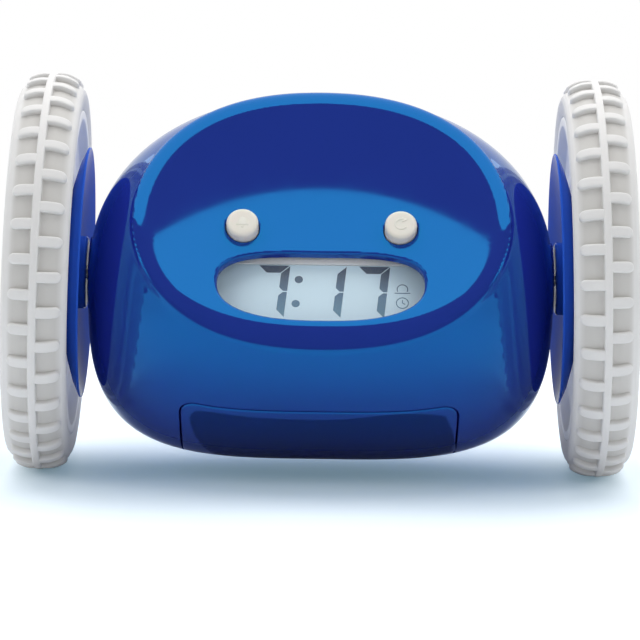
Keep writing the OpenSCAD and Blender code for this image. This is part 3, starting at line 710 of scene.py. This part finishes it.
rear = half_barrel("casing_rear", BOTTOM)
posts = [disc(x, -z, 4) for x, z in SEATS]
boolean(rear, collars(BOTTOM) + [REAR.stack([(o, 3.0), (o, REAR.depth(o, 1.0))]) for o in posts], "UNION")
slots = [dense(rounded(5, 1.9, 0.6, 5) + [12 * sx, 0], 0.6) for sx in SIDES]
snooze_hole = dense(rounded(13.35, 4.35, 4.1, 14), 0.6)
openings = [flared(REAR, disc(x, -z, 2.8), SEAT_FLOOR, 0.35) for x, z in SEATS]
openings += [flared(SPEAKER, disc(x, t, 0.9, 28), SPEAKER_FLOOR, 0.25) for x, t in grille]
openings += [flared(SLIDER, slot, SLIDER_FLOOR, 0.3) for slot in slots]
openings += [flared(SNOOZE, snooze_hole, SNOOZE_FLOOR, 0.4), bore(False), bore(True)]
boolean(rear, openings)
for ob, body, node in (
    (front, "body", "front_shell"), (rear, "body", "rear_shell"), (door, "battery_door", "battery_door"),
):
    shade(ob)
    piece(ob, body, "blue_plastic", BLUE, node)

# ---------------------------------------------------------------- face: buttons, display
# an eye button as (radius, depth): stem, flange, and a crowned top
BUTTON = [(0, 20.8), (1.6, 20.8), (1.6, 21.8), (4.4, 21.8), (4.4, 22.8), (3.5, 22.8), (3.5, 27.75)]
BUTTON += [(3.5 - 0.85 * (1 - math.cos(t)), 27.75 + 0.8 * math.sin(t)) for t in np.radians(range(15, 91, 15))]
BUTTON += [(1.8, 28.52), (0, 28.48)]
MARK_FOOT, MARK_TOP = 28.3, 28.62


def bell_mark(x, t):
    """A plain raised bell."""
    skirt = [[x - 0.95, t - 0.5], [x - 1.35, t - 0.8], [x + 1.35, t - 0.8], [x + 0.95, t - 0.5]]
    bell = np.concatenate([arc(x, t + 0.35, 0.85, 0, 180), skirt])
    clapper = disc(x, t - 1.15, 0.32, 16)
    return [prism(FACE, bell, MARK_FOOT, MARK_TOP, 0.08), prism(FACE, clapper, MARK_FOOT, 28.6, 0.06)]


def arrow_mark(x, t):
    """A raised arrow turned round on itself."""
    shaft = ribbon(arc(x, t, 1.25, 60, 330, 28), 0.42)
    head = [[x + 0.2, t + 1.75], [x + 0.2, t + 0.45], [x + 1.35, t + 1.05]]
    return [prism(FACE, outline, MARK_FOOT, MARK_TOP, 0.06) for outline in (shaft, head)]


for side, x, mark in (("left", -EYE_X, bell_mark), ("right", EYE_X, arrow_mark)):
    parts = [turned(FACE, x, EYE_T, BUTTON)] + mark(x, EYE_T)
    piece(solid(f"{side}_eye", parts, 40), f"{side}_button", "cream_plastic", CREAM, f"{side}_button")

# The display's dark segments, thin on its glass
GLASS_D, INK_H = 21.42, 0.03
SLANT = 0.1
DIGIT_HALF_W, DIGIT_HALF_H, STROKE, SEGMENT_GAP, DIGIT_T = 6.9 / 2, 12.9 / 2, 1.8, 0.14, -16.5
COLON_X, COLON_STEP, COLON_R = -5.1, 3.0, 0.9
SYMBOL_X, BELL_T, DIAL_T, LINE_W = 17.7, DIGIT_T + 0.9, DIGIT_T - 2.5, 0.2


def digit(lit, cx):
    """The lit segments of a seven segment digit, as closed outlines."""
    a, b, q, m, gap = DIGIT_HALF_W, DIGIT_HALF_H, STROKE, STROKE / 2, SEGMENT_GAP
    shapes = {
        "a": [(-a + gap, b), (-a + q + gap, b - q), (a - q - gap, b - q), (a - gap, b)],
        "b": [(a, gap), (a, b - gap), (a - q, b - q - gap), (a - q, m + gap), (a - m, gap)],
        "c": [(a, -gap), (a - m, -gap), (a - q, -m - gap), (a - q, -b + q + gap), (a, -b + gap)],
    }
    outlines = []
    for key in lit:
        p = np.asarray(shapes[key], float)
        outlines.append(np.column_stack([p[:, 0] + SLANT * p[:, 1] + cx, p[:, 1] + DIGIT_T]))
    return outlines


ink = digit("abc", -10.76) + digit("bc", 1.5) + digit("abc", 10.95)
ink += [disc(COLON_X + SLANT * s, DIGIT_T + s, COLON_R, 24) for s in (COLON_STEP, -COLON_STEP)]
# a small bell over a small dial at the right end
brim = [(SYMBOL_X - 1.7, BELL_T - 0.95), (SYMBOL_X, BELL_T - 1.0), (SYMBOL_X + 1.7, BELL_T - 0.95)]
hands = [(SYMBOL_X, DIAL_T + 0.75), (SYMBOL_X + 0.02, DIAL_T), (SYMBOL_X + 0.6, DIAL_T - 0.3)]
dome, rim = arc(SYMBOL_X, BELL_T, 1.15, -30, 210, 20), arc(SYMBOL_X, DIAL_T, 1.3, 2, 358, 32)
ink += [ribbon(line, LINE_W) for line in (dome, brim, rim, hands)]
foot = GLASS_D - INK_H
digits = solid("display_digits", [prism(FACE, outline, foot, foot + INK_H) for outline in ink], 30)
piece(digits, "body", "lcd_glass", INK)

# ---------------------------------------------------------------- top bar, slide knobs, screws
BAR_FOOT, BAR_SHOULDER, BAR_TOP = 35.2, 39.9, 40.97


def snooze_key():
    """A long rounded bar with grip ribs on top, a flange inside the casing and a stem to its switch."""
    bar = dense(rounded(13, 4, 3.8, 14), 0.6)
    nrm = outward(bar)
    levels = [(bar, BAR_FOOT), (bar, BAR_SHOULDER)]
    for a in np.radians([20, 40, 60, 80]):
        levels.append((bar - nrm * 1.1 * (1 - math.cos(a)), BAR_SHOULDER + 1.05 * math.sin(a)))
    levels.append((bar - nrm * 1.6, BAR_TOP))
    parts = [SNOOZE.stack(levels)]
    for k in range(-4, 5):
        parts.append(prism(SNOOZE, dense(rounded(0.35, 2.3, 0.3, 4) + [2.1 * k, 0], 0.5), 40.6, 41.0, 0.12))
    stem = turned(SNOOZE, 0, 0, [(0, 33.7), (1.6, 33.7), (1.6, 35.7), (0, 35.7)], 32)
    return solid("snooze_key", parts + [prism(SNOOZE, rounded(14, 5.2, 1), 35.7, 36.5), stem], 40)


def slide_knob(name, cx):
    """A ribbed knob with the pin that reaches its switch."""
    knob = dense(rounded(2.6, 1.5, 0.5, 5), 0.4)
    parts = [prism(SLIDER, knob + [cx, 0], 36, 41.3, 0.3)]
    parts.append(prism(SLIDER, rounded(1.6, 0.75, 0.1, 1) + [cx, 0], 33.7, 36.2))
    for k in range(-2, 3):
        parts.append(prism(SLIDER, rounded(0.22, 1.15, 0.2, 4) + [cx + 0.9 * k, 0], 41.0, 41.75, 0.12))
    return solid(f"{name}_knob", parts, 40)


def case_screws():
    """Heads with a cross slot, and their shanks."""
    slot_half_w, slot_half_l, slot_floor = 0.3, 1.5, 13.0
    screws = new_mesh("case_screws", *merge([cylinder(x, z, 2.5, SEAT_FLOOR, 14, 48, 0.3) for x, z in SEATS]))
    for w, h in ((slot_half_l, slot_half_w), (slot_half_w, slot_half_l)):
        boolean(screws, [box(x - w, x + w, slot_floor, 15, z - h, z + h) for x, z in SEATS])
    boolean(screws, [cylinder(x, z, 1.2, -6.5, 12.4, 32, 0.3) for x, z in SEATS], "UNION")
    shade(screws, 30)
    return screws


piece(snooze_key(), "snooze_bar", "cream_plastic", CREAM, "snooze_bar")
for name, cx in (("alarm_slider", -14), ("wheels_slider", 10)):
    piece(slide_knob(name, cx), name, "cream_plastic", CREAM, name)
piece(case_screws(), "body", "steel", STEEL, "casing_screws")

# ---------------------------------------------------------------- wheels, as profiles of (radius, x)
SAUCER = [
    (1.5, 52.3), (7.7, 52.3), (8.1, 52.7), (8.15, 54.4), (8.6, 55.3), (9.6, 55.9), (11, 56.1), (13, 55.95),
    (17, 55.3), (21, 54.4), (25, 53.3), (27.65, 52.45), (28, 52.5), (28, 52.9), (25, 54.3), (21, 55.5),
    (17.5, 56.4), (14, 57), (1.5, 57),
]
RIM = [
    (1.5, 57), (30, 57), (32.4, 56.4), (33.6, 55), (34.2, 54.4), (36.2, 54.4), (36.2, 66.6), (34.2, 66.6),
    (34.2, 60.2), (33, 58.8), (12, 58.8), (12, 61.4), (9.5, 61.4), (9.5, 58.8), (5, 58.8), (5, 60.8),
    (1.5, 60.8),
]
COVER = [
    (3.4, 61.4), (10.5, 61.4), (12, 62), (18, 62.2), (25, 62.9), (31, 64.4), (34, 65.9), (34.1, 66.5),
    (33.4, 67), (30.6, 66.2), (25, 64.7), (18, 63.9), (13, 63.7), (11, 64.4), (10, 66), (9.4, 66.3),
    (9.4, 63.2), (3.4, 63.2),
]
CAP = [
    (AXIS_R, 65.2), (7.6, 64.2), (7.6, 63.2), (9.2, 63.2), (9.2, 66.2), (8.6, 66.7), (6, 67.2), (3, 67.45),
    (AXIS_R, 67.5),
]
CROWN_FLAT, CROWN_R = 1.6, 6.0
RIB_TOP, BAR_DROP, GROOVE = WHEEL_R - 0.04, 0.14, 1.4
BAR_R, BAR_ROLL, BAR_START, BAR_ROOT = 1.2, 0.42, 0.5, 40.8
OUTER_BAR, INNER_BAR = 4.9, 5.5  # bars' lengths outboard and inboard of the rib
BARS = 36
RECESS_TOP, RECESS_DEPTH, RECESS_FADE = 0.45, 0.7, 0.5  # where the painted shade starts, fills out, and fades sideways
OUTER_RECESS, INNER_RECESS = 5.3, 5.9


def crown(dx):
    """How much lower the tread is at a distance from its middle."""
    return np.clip(np.abs(dx) - CROWN_FLAT, 0, None) ** 2 / (2 * CROWN_R)


def tyre_profile():
    """Outline of the tyre without its bars."""
    tread = [(WHEEL_R - GROOVE - float(crown(dx)), dx) for dx in (2.3, 3.0, 3.6, 4.3, 4.9, 5.6, 6.3)]
    side = tread + [(40.6, 6.8), (39.8, 7.1), (38.6, 7.1)]
    rib = [(WHEEL_R - GROOVE, 1.0), (WHEEL_R - 0.1, 0.8), (RIB_TOP, 0)]
    inner = [(36.2, -6.7)] + [(r, -dx) for r, dx in side[::-1] + rib[:2]]
    outer = rib[::-1] + side + [(36.2, 6.4)]
    return [(r, RIB_X + dx) for r, dx in inner + outer]


def tread_bar(angle, way, length, mirror):
    """One bar of the tread, laid over its crown: round at the shoulder, its upper edges rolled in.

    It runs from the rib outboard (way 1) or inboard (way -1).
    """
    end = length - BAR_R
    across = np.array([-1, -0.97, -0.9, -0.8, -0.66, -0.3, 0, 0.3, 0.66, 0.8, 0.9, 0.97, 1])
    along = list(np.linspace(-0.6, end, 7))
    along += [end + BAR_R * math.sin(t) for t in np.radians([20, 38, 54, 68, 79, 86])]
    loops = []
    for x in along:
        past = max(x - end, 0)
        half = math.sqrt(BAR_R**2 - past**2)
        w = half * across
        edge = BAR_R - np.hypot(past, w)
        sunk = BAR_ROLL - np.sqrt(np.clip(BAR_ROLL**2 - np.clip(BAR_ROLL - edge, 0, None) ** 2, 0, None))
        h = WHEEL_R - BAR_DROP - crown(BAR_START + x) - sunk
        w, h = np.concatenate([[-half], w, [half]]), np.concatenate([[BAR_ROOT], h, [BAR_ROOT]])
        y, z = h * math.cos(angle) - w * math.sin(angle), w * math.cos(angle) + h * math.sin(angle)
        out = (RIB_X + way * (BAR_START + x)) * (-1 if mirror else 1)
        loops.append(np.column_stack([np.full(len(w), out), y, z]))
    return rings(loops)


def mark_recess(ob):
    """Writes how deep each point of a tyre lies between its bars, from 0 on their tops to 1 at their foot, as
    the mask for the rubber's painted shade.
    """
    me = ob.data
    v = np.empty(len(me.vertices) * 3)
    me.vertices.foreach_get("co", v)
    v = v.reshape(-1, 3) / MM
    x, z = np.abs(v[:, 0]) - RIB_X, v[:, 2] - AXLE_Z
    dx, up = x * math.cos(LEAN) + z * math.sin(LEAN), z * math.cos(LEAN) - x * math.sin(LEAN)
    low = WHEEL_R - crown(dx) - np.hypot(v[:, 1], up)
    reach = np.where(dx > 0, OUTER_RECESS, INNER_RECESS)
    deep = np.clip((low - RECESS_TOP) / RECESS_DEPTH, 0, 1)
    deep *= np.clip((reach - np.abs(dx)) / RECESS_FADE, 0, 1)
    me.attributes.new("recess", "FLOAT", "POINT").data.foreach_set("value", deep)


def spun(name, profile, radius, mirror, steps=192):
    return solid(name, [leaned(revolve(soften(profile, radius), steps, mirror))], 40)


for side, mirror in (("left", True), ("right", False)):
    wheel = f"{side}_wheel"
    for key, profile, radius, slot, stuff in (
        ("saucer", SAUCER, 0.25, "blue_plastic", BLUE_DISH),
        ("wheel_rim", RIM, 0.45, "white_plastic", WHITE),
        ("wheel_cover", COVER, 0.35, "blue_plastic", BLUE),
        ("wheel_cap", CAP, 0.3, "blue_plastic", BLUE),
    ):
        piece(spun(f"{side}_{key}_skin", profile, radius, mirror), wheel, slot, stuff, f"{side}_{key}")
    tyre = spun(f"{side}_tread", tyre_profile(), 0.3, mirror, 12 * BARS)
    bars = []
    for i in range(BARS):
        bars.append(leaned(tread_bar(math.radians(10 * i - 90), 1, OUTER_BAR, mirror)))
        bars.append(leaned(tread_bar(math.radians(10 * i - 85), -1, INNER_BAR, mirror)))
    boolean(tyre, bars, "UNION")
    mark_recess(tyre)
    shade(tyre, 38)
    piece(tyre, wheel, "white_rubber", RUBBER, f"{side}_tyre")

# ---------------------------------------------------------------- studio, in metres
AXLE = Vector((0, 0, AXLE_Z * MM))
PHOTO_PX, FOCAL_PX, SENSOR = 640, 3644, 36
CAMERA_AT = (0, -0.81065, 0.14153)
PITCH, YAW, TILT = math.radians(-7.543), math.radians(0.0055), math.radians(0.81)
FLOOR_HALF, FLOOR_GLOW = 4.0, 0.22
FADE_FROM, FADE_TO = 0.11, 0.32
DARK_ROOM, DIM_ROOM, LIT_BACK = 0.13, 0.42, 0.65
BEHIND = (-0.25, 0.35)  # Y of a direction, from the room in front to the backdrop
ABOVE = (0.45, 0.75)  # Z of a direction, from the backdrop to over it


def camera():
    cam = bpy.data.cameras.new("photo_camera")
    cam.sensor_width = SENSOR
    cam.lens = SENSOR * FOCAL_PX / PHOTO_PX
    cam.clip_start, cam.clip_end = 0.05, 20
    ob = bpy.data.objects.new("photo_camera", cam)
    ob.location = CAMERA_AT
    look = Vector((-math.sin(YAW) * math.cos(PITCH), math.cos(YAW) * math.cos(PITCH), math.sin(PITCH)))
    ob.rotation_euler = (look.to_track_quat("-Z", "Y") @ Quaternion((0, 0, 1), TILT)).to_euler()
    bpy.context.scene.collection.objects.link(ob)
    bpy.context.scene.camera = ob


def light_panel(name, centre, target, size, strength, shape="RECTANGLE"):
    """A soft box: a plain area lamp whose face shows as strength in a mirror."""
    lamp = bpy.data.lights.new(name, "AREA")
    lamp.shape, lamp.size, lamp.size_y = shape, size, size
    lamp.energy = strength * size * size * math.pi
    ob = bpy.data.objects.new(name, lamp)
    ob.location = centre
    ob.rotation_euler = (Vector(target) - Vector(centre)).to_track_quat("-Z", "Y").to_euler()
    bpy.context.scene.collection.objects.link(ob)


def floor():
    """White table that keeps the object's shadow and fades into a plain white surround.

    The fade and a faint glow, which lightens the shadow for the camera, light nothing.
    """
    me = bpy.data.meshes.new("floor")
    e = FLOOR_HALF
    me.from_pydata([(-e, -e, 0), (e, -e, 0), (e, e, 0), (-e, e, 0)], [], [(0, 1, 2, 3)])
    ob = bpy.data.objects.new("floor", me)
    bpy.context.scene.collection.objects.link(ob)
    mat = bpy.data.materials.new("floor_white")
    nt = cleared(mat)
    new, link = nt.nodes.new, nt.links.new
    out = new("ShaderNodeOutputMaterial")
    table, glow, surround = new("ShaderNodeBsdfDiffuse"), new("ShaderNodeEmission"), new("ShaderNodeEmission")
    table.inputs["Color"].default_value = (0.86, 0.9, 0.94, 1)
    # painted light: the glow's sky blue stands in for light bounced off the blue body into its shadow
    glow.inputs["Color"].default_value = (0.5, 0.82, 1.0, 1)
    link(calc(nt, "MULTIPLY", ray_switch(nt, "Is Camera Ray"), FLOOR_GLOW), glow.inputs["Strength"])
    surround.inputs["Strength"].default_value = 1.0
    near = new("ShaderNodeAddShader")
    link(table.outputs[0], near.inputs[0])
    link(glow.outputs[0], near.inputs[1])
    distance = new("ShaderNodeVectorMath")
    distance.operation = "LENGTH"
    link(new("ShaderNodeTexCoord").outputs["Object"], distance.inputs[0])
    fade = mapped(nt, distance.outputs["Value"], FADE_FROM, FADE_TO, 0, 1)
    seen = mixed_shader(nt, fade, near.outputs[0], surround.outputs[0])
    seeing = ray_switch(nt, "Is Camera Ray", "Is Glossy Ray", "Is Transmission Ray")
    link(mixed_shader(nt, seeing, table.outputs[0], seen), out.inputs[0])
    me.materials.append(mat)


def world():
    """White to the camera and through clear pieces.

    Gloss sees a white backdrop behind the object and a dark room in front of it and above. The light
    on the object comes from a lit backdrop behind and a dim room in front.
    """
    w = bpy.data.worlds.new("studio")
    bpy.context.scene.world = w
    nt = cleared(w)

    def background():
        node = nt.nodes.new("ShaderNodeBackground")
        node.inputs["Color"].default_value = (1, 1, 1, 1)
        return node

    out = nt.nodes.new("ShaderNodeOutputWorld")
    light, dark, white = background(), background(), background()
    direction = split(nt, nt.nodes.new("ShaderNodeTexCoord").outputs["Generated"])
    plug(nt, light.inputs["Strength"], mapped(nt, direction["Y"], *BEHIND, DIM_ROOM, LIT_BACK))
    plug(nt, dark.inputs["Strength"], DARK_ROOM)
    plug(nt, white.inputs["Strength"], 1.0)
    behind, low = mapped(nt, direction["Y"], *BEHIND, 0, 1), mapped(nt, direction["Z"], *ABOVE, 1, 0)
    shown = mixed_shader(nt, calc(nt, "MULTIPLY", behind, low), dark.outputs[0], white.outputs[0])
    lit = mixed_shader(nt, ray_switch(nt, "Is Glossy Ray"), light.outputs[0], shown)
    seeing = ray_switch(nt, "Is Camera Ray", "Is Transmission Ray")
    nt.links.new(mixed_shader(nt, seeing, lit, white.outputs[0]), out.inputs[0])


camera()
floor()
world()
light_panel("top_box", (0, 0.353, 0.75), (0, 0.353, 0), 1.3, 1.38, "ELLIPSE")
light_panel("left_box", (-0.62, -0.45, 0.52), AXLE, 0.42, 1.75)
light_panel("right_box", (0.62, -0.45, 0.52), AXLE, 0.42, 1.65)
light_panel("back_left_box", (-0.60, 0.62, 0.42), AXLE, 0.5, 0.9)
light_panel("back_right_box", (0.60, 0.62, 0.42), AXLE, 0.5, 0.9)

scene = bpy.context.scene
scene.view_settings.view_transform = "Standard"
